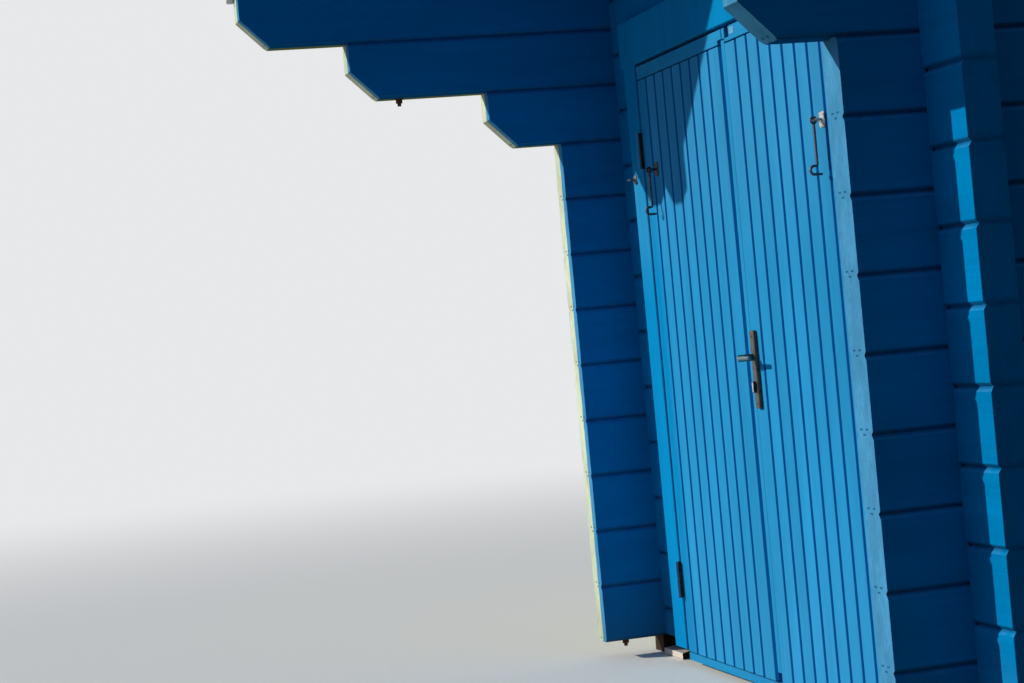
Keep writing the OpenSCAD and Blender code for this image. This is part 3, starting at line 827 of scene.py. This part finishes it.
def rail_fronts():
    """Flush rails above and below the boards, run on past them towards the meeting line.

    The right one has a slot for the bolt."""
    foot_z = LEAF_Z0 + RAIL_FOOT_H
    line_z = LEAF_Z1 - RAIL_HEAD_H
    left_end, notch_z, notch_x = 0.004, LEAF_Z1 - 0.030, 0.038
    right_end, slot_z, slot_in, slot_out = 0.0025, LEAF_Z1 - 0.032, 0.025, 0.060
    start = [(LEAF_X, line_z), (LEAF_X, LEAF_Z1)]
    left = Shape()
    left.prism(start + [(left_end, LEAF_Z1), (left_end, notch_z), (notch_x, notch_z), (notch_x, line_z)],
               lambda u, v, run: (-u, run, v), LEAF_Y, BOARD_BACK_Y, RAIL_EASE)
    left.box((-LEAF_X, LEAF_Y, LEAF_Z0), (-left_end, BOARD_BACK_Y, foot_z), RAIL_EASE)
    left.piece("left_leaf_rails", "door_x", "left_leaf")
    right = Shape()
    right.prism(start + [(slot_out, LEAF_Z1), (slot_out, slot_z), (slot_in - 0.001, slot_z),
                         (slot_in - 0.001, line_z)], from_front, LEAF_Y, BOARD_BACK_Y, RAIL_EASE)
    right.box((right_end, LEAF_Y, slot_z), (slot_in, BOARD_BACK_Y, LEAF_Z1), RAIL_EASE)
    right.box((right_end, LEAF_Y, LEAF_Z0), (LEAF_X, BOARD_BACK_Y, foot_z), RAIL_EASE)
    right.piece("right_leaf_rails", "door_x", "right_leaf")
    # A dark plate at the back of the bolt slot: painted shade
    dark = Shape()
    dark.box((slot_in, BOARD_BACK_Y - 0.002, slot_z), (slot_out, BOARD_BACK_Y, LEAF_Z1), 0.0003)
    dark.piece("bolt_slot", "gap", "right_leaf")


def meeting_strip():
    """Cover strip on the right leaf: its front stands back from the edge behind it."""
    node = "meeting_strip"
    x0, x1, front_x = low(node).x, high(node).x - 0.0035, -0.008
    step = LEAF_Y + 0.010
    shape = Shape()
    shape.prism([(front_x, LEAF_Y), (x1, LEAF_Y), (x1, BOARD_BACK_Y), (x0, BOARD_BACK_Y), (x0, step),
                 (front_x, step)], from_above, low(node).z, high(node).z, 0.001)
    shape.piece("meeting_strip_moulding", "door_z", node, (node,))


def screw_head(shape, x, y, z, radius):
    """A domed screw head on a face that looks forward."""
    shape.turned([(radius, 0.0), (radius, 0.0005), (radius * 0.8, 0.0014), (radius * 0.3, 0.0019),
                  (0.0, 0.002)], (x, y, z), sides=14)


def hook_plate(side, material, outline):
    """Back plate of a cabin hook with its staple. The outline is in halves of the plate's sizes."""
    node = sided(side, "hook_plate")
    half_w = (high(node).x - low(node).x) / 2
    half_h = (high(node).z - low(node).z) / 2
    x, face_y = side * HOOK_X, LEAF_Y - 0.003
    shape = Shape()
    points = [(x + u * half_w, HOOK_Z + v * half_h) for u, v in outline]
    shape.prism(points, from_front, face_y, LEAF_Y, 0.0006)
    for u, v in ((-0.55, 0.62), (0.55, -0.62)):
        screw_head(shape, x + u * half_w, face_y, HOOK_Z + v * half_h, 0.0035)
    shape.tube([(x, LEAF_Y, HOOK_Z), (x, LEAF_Y - 0.0095, HOOK_Z)], WIRE_R * 1.2)
    shape.ring((x, LEAF_Y - BAR_OUT + EYE_R, HOOK_Z), EYE_R, (0, 1))
    shape.piece(f"{node}_staple", material, node, (node,))


def cabin_hook(side, material):
    """Wire hook: an eye around the staple, a rod, and a bend out and back to the door."""
    node = sided(side, "hook")
    x, bar_y = side * HOOK_X, LEAF_Y - BAR_OUT
    eye_r = 0.008
    eye_z = HOOK_Z + 2 * WIRE_R + 0.0006 - eye_r
    rod_foot = HOOK_Z - 0.124
    bend_r, bend_out, turn_r = 0.0115, 0.0097, 0.005
    tip_y, tip_z = LEAF_Y - 0.012 - WIRE_R * 0.4, rod_foot - 2 * bend_r
    shape = Shape()
    shape.ring((x, bar_y, eye_z), eye_r, (1, 2))
    path = [(bar_y, eye_z - eye_r), (bar_y, (eye_z + rod_foot) / 2)]
    path += arc((bar_y - turn_r, rod_foot + turn_r), turn_r, 0, -90, 6)
    path += arc((bar_y - bend_out, rod_foot - bend_r), bend_r, 90, 270, 18)
    path += [(tip_y - short, tip_z) for short in (0.006, 0.002, 0.0)]
    radii = [WIRE_R * 1.16] * (len(path) - 2) + [WIRE_R * 0.9, WIRE_R * 0.5]
    shape.tube([(x, y, z) for y, z in path], radii)
    shape.piece(f"{node}_wire", material, node, (node,))


def catch_eyes():
    """Screwed eyes on the casings, with a round rose behind each."""
    node = "catch_eyes"
    face_y = low("casings").y
    rose_r = 0.017
    eye_z = (low(node).z + high(node).z) / 2
    shape = Shape()
    for side in (-1, 1):
        x = side * (high(node).x - rose_r)
        shape.turned([(rose_r, 0.0), (rose_r, 0.0018), (0.0145, 0.003), (0.007, 0.0032)], (x, face_y, eye_z))
        shape.tube([(x, face_y - 0.001, eye_z), (x, face_y - 0.0065, eye_z)], WIRE_R * 1.2)
        shape.ring((x, face_y - 0.0163, eye_z), EYE_R, (0, 1))
    shape.piece("catch_eyes_turned", "eye", node, (node,))


def rounded(x0, x1, z0, z1, radius):
    """A rectangle with round corners, as (x, z) points."""
    corners = ((x1 - radius, z0 + radius, -90), (x1 - radius, z1 - radius, 0),
               (x0 + radius, z1 - radius, 90), (x0 + radius, z0 + radius, 180))
    return [point for x, z, turn in corners for point in arc((x, z), radius, turn, turn + 90, 6)]


def handle_plate():
    """Long plate behind lever and lock. Returns the x of its middle and the y of its face."""
    node = "handle_plate"
    x0, x1, z0, z1 = low(node).x, high(node).x, low(node).z, high(node).z
    x, face_y = (x0 + x1) / 2, low(node).y
    plate = Shape()
    plate.prism(rounded(x0, x1, z0, z1, 0.006), from_front, LEAF_Y, face_y, 0.0018, 0.0)
    for z in (z0 + 0.016, z1 - 0.016):
        screw_head(plate, x, face_y, z, 0.0048)
    plate.piece("handle_plate_rounded", "bronze", node, (node,))
    return x, face_y


def lock_cylinder(x, plate_y):
    """Profile cylinder with a worn face and its keyway. The body's near black is painted shade."""
    node = "lock_cylinder"
    lock_y, top_z, foot_z = low(node).y, high(node).z, low(node).z
    radius = (high(node).x - low(node).x) / 2
    web = 0.005
    meet = math.degrees(math.asin(web / radius))
    barrel_z, middle_z = top_z - radius, (top_z + foot_z) / 2
    outline = arc((x, barrel_z), radius, -90 + meet, 270 - meet, 24)
    outline += [(x - web, foot_z + 0.002), (x + web, foot_z + 0.002)]
    # The body is near black: painted shade
    lock = Shape()
    lock.prism(outline, from_front, lock_y, plate_y, 0.0008, 0.0)
    lock.piece("lock_cylinder_profile", "lock", node, (node,))
    face = Shape()
    face.prism([(x + (u - x) * 0.66, middle_z + (v - middle_z) * 0.88) for u, v in outline], from_front,
               lock_y - 0.0002, lock_y + 0.001)
    face.piece("lock_cylinder_face", "steel", node)
    # A dark box in the keyway: painted shade
    key = Shape()
    key.box((x - 0.0012, lock_y - 0.0004, barrel_z - 0.0055), (x + 0.0012, lock_y + 0.001, barrel_z + 0.004))
    key.piece("lock_keyway", "gap", node)


def lever(x, plate_y):
    """Lever handle, which swells towards its neck, and the collar around the neck, dark teal as painted
    shade.
    """
    node = "lever"
    neck_z = (low(node).z + high(node).z) / 2
    grip_y, foot_y = low(node).y + 0.010, plate_y - 0.0005
    grip_r, root_r = 0.006, 0.0075
    tip_x = high(node).x - 0.022
    neck = foot_y - grip_y
    handle = Shape()
    stops = (x - 0.0095, x - 0.008, x + 0.012, x + 0.05, tip_x - 0.0015, tip_x)
    handle.tube([(u, grip_y, neck_z) for u in stops], [0.006, root_r, root_r, 0.0065, grip_r, grip_r * 0.8])
    handle.piece("lever_handle", "lever", node, (node,))
    # The collar's dark colour is painted shade
    collar = Shape()
    collar.turned([(0.0105, 0.0), (0.0105, neck + 0.004), (0.009, neck + 0.006)], (x, foot_y, neck_z))
    collar.piece("lever_collar", "collar", node)


def bolt_plate():
    """Keep plate let into the right leaf's top rail, its paint half worn off."""
    x0, x1, z0, z1 = 0.070, 0.108, 1.995, 2.015
    shape = Shape()
    shape.box((x0, LEAF_Y - 0.0012, z0), (x1, LEAF_Y + 0.001, z1), 0.0004, 0.0)
    for x in (x0 + 0.006, x1 - 0.006):
        screw_head(shape, x, LEAF_Y - 0.001, (z0 + z1) / 2, 0.0025)
    shape.piece("bolt_keep", "keep", "right_hook_plate")


def soffit_boards(side):
    """Tongued boards under a slope, with one wide board along the wall."""
    node = sided(side, "soffit")
    pitch, vee, wide = 0.088, 0.004, 0.235
    wide_s = SIDE_IN / QUARTER - wide
    joints = [i * pitch for i in range(math.ceil(wide_s / pitch))] + [wide_s, SIDE_OUT / QUARTER]
    shape = Shape()

    def place(s, t, run):
        return side * min(QUARTER * (s + t), SIDE_OUT), run, SOFFIT_PEAK - QUARTER * (s - t)
    for s0, s1 in zip(joints, joints[1:]):
        shape.prism([(s0, vee), (s0 + vee, 0.0), (s1 - vee, 0.0), (s1, vee), (s1, SOFFIT_T), (s0, SOFFIT_T)],
                    place, ROOF_FRONT, ROOF_BACK)
    shape.piece(f"{node}_boards", "soffit", node, (node,))


def roof_felt(side):
    """Three overlapping courses of felt on a slope."""
    node = sided(side, "roof")
    peak_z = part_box(node)[1].z
    end_s = ROOF_STOP / QUARTER
    courses, lap = 3, 0.075
    y0, y1 = low("ridge_cap").y, high("ridge_cap").y
    shape = Shape()

    def place(s, t, run):
        return side * QUARTER * (s + t), run, peak_z - QUARTER * (s - t)
    for i in range(courses):
        s0 = end_s * i / courses + 0.004
        s1 = min(end_s * (i + 1) / courses + lap, end_s - 0.002)
        shape.prism([(s0, 0.0014), (s1, 0.0042), (s1, 0.0002)], place, y0, y1)
    shape.piece(f"{node}_felt", "felt", node)


def floor_boards():
    """Tongued floor boards, run from wall to wall along the row."""
    node = "floor_boards"
    (x0, y0, z0), (x1, y1, z1) = low(node), high(node)
    count, vee, gap = 22, 0.0015, 0.0008
    pitch = (y1 - y0) / count
    shape = Shape()
    for i in range(count):
        a, b = y0 + i * pitch, y0 + (i + 1) * pitch - gap
        shape.prism([(a, z0), (b, z0), (b, z1 - vee), (b - vee, z1), (a + vee, z1), (a, z1 - vee)],
                    lambda u, v, run: (run, u, v), x0, x1)
    shape.piece("floor_boards_laid", "pine_x", node, (node,))


def rough_block(shape, corner, opposite, turn=0.0):
    """A split and sawn offcut: an uneven box, turned a little about its middle."""
    swell = 0.004
    centre = Vector((a + b) / 2 for a, b in zip(corner, opposite))
    size = [abs(b - a) for a, b in zip(corner, opposite)]
    spin = Matrix.Rotation(math.radians(turn), 3, "Z")
    solid = bmesh.new()
    bmesh.ops.create_cube(solid, size=1.0)
    bmesh.ops.subdivide_edges(solid, edges=solid.edges, cuts=5, use_grid_fill=True)
    for vert in solid.verts:
        local = Vector(vert.co[i] * size[i] for i in range(3))
        seed = centre * 7.0 + local * 22.0
        local.x *= 1 - swell / size[0] * (1 + noise.noise(seed))
        local.y *= 1 - swell / size[1] * (1 + noise.noise(seed + Vector((9, 0, 0))))
        if abs(vert.co.z) < 0.49:
            local.z += swell * 0.3 * noise.noise(seed + Vector((0, 9, 0)))
        vert.co = hut(*(centre + spin @ local))
    shape.take(solid)


def packers():
    """Offcuts under the walls, laid where the solids stand. Those by the doors are dark: bark colour as
    painted shade.

    The inner one of each pair there lies on a slab with askew ends."""
    shape = Shape()
    dark = Shape()
    top = BASE_Z
    slab = [(1.118, 0.197), (0.934, 0.201), (0.970, 0.238), (0.975, 0.311), (1.130, 0.311), (1.138, 0.240)]
    for side in (-1, 1):
        # Dark packers by the doors: bark colour as painted shade
        rough_block(dark, (side * (SIDE_IN + 0.004), 0.207, 0.0),
                    (side * (SIDE_OUT - 0.002), 0.303, top), 2.0)
        shape.prism(slab, lambda u, v, run: (side * u, v, run), 0.0, 0.022, 0.002)
        rough_block(dark, (side * 0.940, 0.237, 0.018), (side * 1.104, 0.313, top), 1.0)
        for y in (3.020, 2.050, 1.080):
            rough_block(shape, (side * SIDE_IN, y - 0.100, 0.0), (side * SIDE_OUT, y, top))
    rough_block(shape, (-0.100, BACK_IN_Y, 0.0), (0.100, BACK_IN_Y + LOG_T, top))
    shape.piece("packers_rough", "packer", "packers", ("packers",))
    dark.piece("packers_dark_painted_shade", "bark", "packers")


def bargeboard_screws(name, y, facing):
    """Screw heads in one pair of bargeboards, down each slope. Facing is -1 in front and 1 behind."""
    shape = Shape()
    for side in (-1, 1):
        for i in range(7):
            for offset in (0.035, 0.120):
                x = 0.09 + i * 0.155
                z = SOFFIT_PEAK - x - 0.040 + offset / QUARTER
                shape.turned([(0.006, 0.0), (0.006, 0.0003), (0.003, 0.0009), (0.0, 0.001)],
                             (side * x, y - facing * 0.0008, z), facing, 12)
    shape.piece(f"bargeboard_screws_{name}", "zinc", "bargeboards")


def make_camera():
    data = bpy.data.cameras.new("photo_camera")
    data.lens = CAMERA_LENS
    data.sensor_width = SENSOR_W
    data.clip_end = 200.0
    camera = bpy.data.objects.new("photo_camera", data)
    turn = (Matrix.Rotation(math.radians(CAMERA_HEADING), 4, "Z")
            @ Matrix.Rotation(math.radians(90 + CAMERA_TILT), 4, "X")
            @ Matrix.Rotation(math.radians(CAMERA_ROLL), 4, "Z"))
    camera.matrix_world = Matrix.Translation(hut(*CAMERA_AT)) @ turn
    bpy.context.scene.collection.objects.link(camera)
    bpy.context.scene.camera = camera


def backdrop_rays(graph):
    """1 for rays that show the backdrop as it is: seen by the camera, in metal or through glass."""
    path = graph.add("LightPath").outputs
    result = path["Is Camera Ray"]
    for kind in ("Is Glossy Ray", "Is Transmission Ray"):
        result = graph.math("MAXIMUM", result, path[kind])
    return result


def make_floor():
    """A pale floor that keeps the hut's shadow, fades into the backdrop and throws back little light."""
    half = 60.0
    mesh = bpy.data.meshes.new("studio_floor")
    corners = [(-half, -half, 0.0), (half, -half, 0.0), (half, half, 0.0), (-half, half, 0.0)]
    mesh.from_pydata(corners, [], [(0, 1, 2, 3)])
    floor = bpy.data.objects.new("studio_floor", mesh)
    graph = Graph("studio_floor")
    seen = backdrop_rays(graph)
    grit = graph.vary(graph.noise(60.0, 4.0, 0.6), 0.98, 1.02)
    bounce = graph.shade(FLOOR_BOUNCE, graph.span(graph.x, 0.8, 1.9, 1.0, 0.15))
    graph.finish(graph.mix(seen, bounce, graph.shade(FLOOR_SEEN, grit)), 0.9)
    fade = graph.span(graph.length(graph.x, graph.y), 4.0, 13.0) * seen
    glow = graph.add("Emission", (BACKDROP,))
    blend = graph.add("MixShader", (fade, graph.shader.outputs[0], glow.outputs[0]))
    graph.feed(graph.tree.nodes["Material Output"].inputs["Surface"], blend.outputs[0])
    mesh.materials.append(graph.material)
    bpy.context.scene.collection.objects.link(floor)


def make_world():
    """Cool light from all round, strongest from the front on the left, and a plain pale backdrop."""
    world = bpy.data.worlds.new("studio")
    bpy.context.scene.world = world
    world.use_nodes = True
    graph = Nodes(world.node_tree)
    around = graph.add("TexCoord").outputs["Generated"]
    toward = graph.add("VectorMath", (around, BRIGHT_SKY), operation="DOT_PRODUCT").outputs["Value"]
    level = graph.add("MapRange", (toward, -1.0, 1.0, 0.0, 0.575)).outputs["Result"]
    light = graph.fill(graph.tree.nodes["Background"], (SKY, level))
    seen = graph.add("Background", (BACKDROP,))
    blend = graph.add("MixShader", (backdrop_rays(graph), light.outputs[0], seen.outputs[0]))
    graph.feed(graph.tree.nodes["World Output"].inputs["Surface"], blend.outputs[0])


def add_sun(name, along, strength, softness, colour):
    """A lamp whose parallel light travels along a direction. Softness is its width in degrees."""
    data = bpy.data.lights.new(name, "SUN")
    data.energy = strength
    data.angle = math.radians(softness)
    data.color = colour
    lamp = bpy.data.objects.new(name, data)
    lamp.rotation_euler = Vector(along).to_track_quat("-Z", "Y").to_euler()
    bpy.context.scene.collection.objects.link(lamp)


bpy.context.scene.view_settings.view_transform = "Standard"
make_camera()
make_floor()
make_world()
add_sun("key_light", KEY_ALONG, 3.3, 0.6, (1.0, 0.985, 0.95))
add_sun("fill_light", FILL_ALONG, 0.2, 60.0, (0.5, 0.62, 1.0))

side_logs(-1, "log_left")
side_logs(1, "log_side")
cross_wall("front_logs_left", FRONT_Y, BASE_Z, OPENING_Z, -LINING_X / SIDE_IN, -1.0)
cross_wall("front_logs_right", FRONT_Y, BASE_Z, OPENING_Z, LINING_X / SIDE_IN, 1.0)
cross_wall("front_logs_over", FRONT_Y, OPENING_Z, GABLE_PEAK)
cross_wall("back_wall", BACK_IN_Y, BASE_Z, GABLE_PEAK)
fin_logs()

dress_leaf(-1, 0.027, 0.1275, 0.0856)
dress_leaf(1, 0.0225, 0.1085, 0.087)
rail_fronts()
meeting_strip()
hook_plate(-1, "old_zinc", [(-1, -1), (0.9, -1), (1, -0.85), (1, 0.9), (0.85, 1), (-1, 1)])
hook_plate(1, "zinc", [(-1, -0.7), (-0.6, -1), (0.8, -0.95), (1, -0.3), (0.85, 0.5), (1, 0.9), (0.4, 1),
                       (-0.9, 0.9)])
# The left hook is darker than the right: painted shade
cabin_hook(-1, "hook_in_painted_shade")
cabin_hook(1, "hook")
catch_eyes()
handle_x, handle_y = handle_plate()
lock_cylinder(handle_x, handle_y)
lever(handle_x, handle_y)
bolt_plate()

for roof_side in (-1, 1):
    soffit_boards(roof_side)
    roof_felt(roof_side)
floor_boards()
packers()
bargeboard_screws("front", low("bargeboards").y, -1)
bargeboard_screws("back", high("bargeboards").y, 1)

for node_name, key, ease in (
        ("door_frame", "casing", 0.0015), ("casings", "casing", 0.0025), ("threshold", "grey_x", 0.004),
        ("bargeboards", "white", 0.003), ("barge_rafters", "rafter", 0.002),
        ("left_gutter", "gutter", 0.0015), ("right_gutter", "gutter", 0.0015)):
    soften(node_name, key, ease)
soften("tie_rods", "rust", 0.0006, True)
for node_name in ("frame_hinges", "left_leaf_hinges", "right_leaf_hinges"):
    soften(node_name, "hinge", 0.0006, True)
keep("floor_bearers", "grey_x")
for node_name in ("ridge_cap", "left_roof", "right_roof"):
    keep(node_name, "felt")
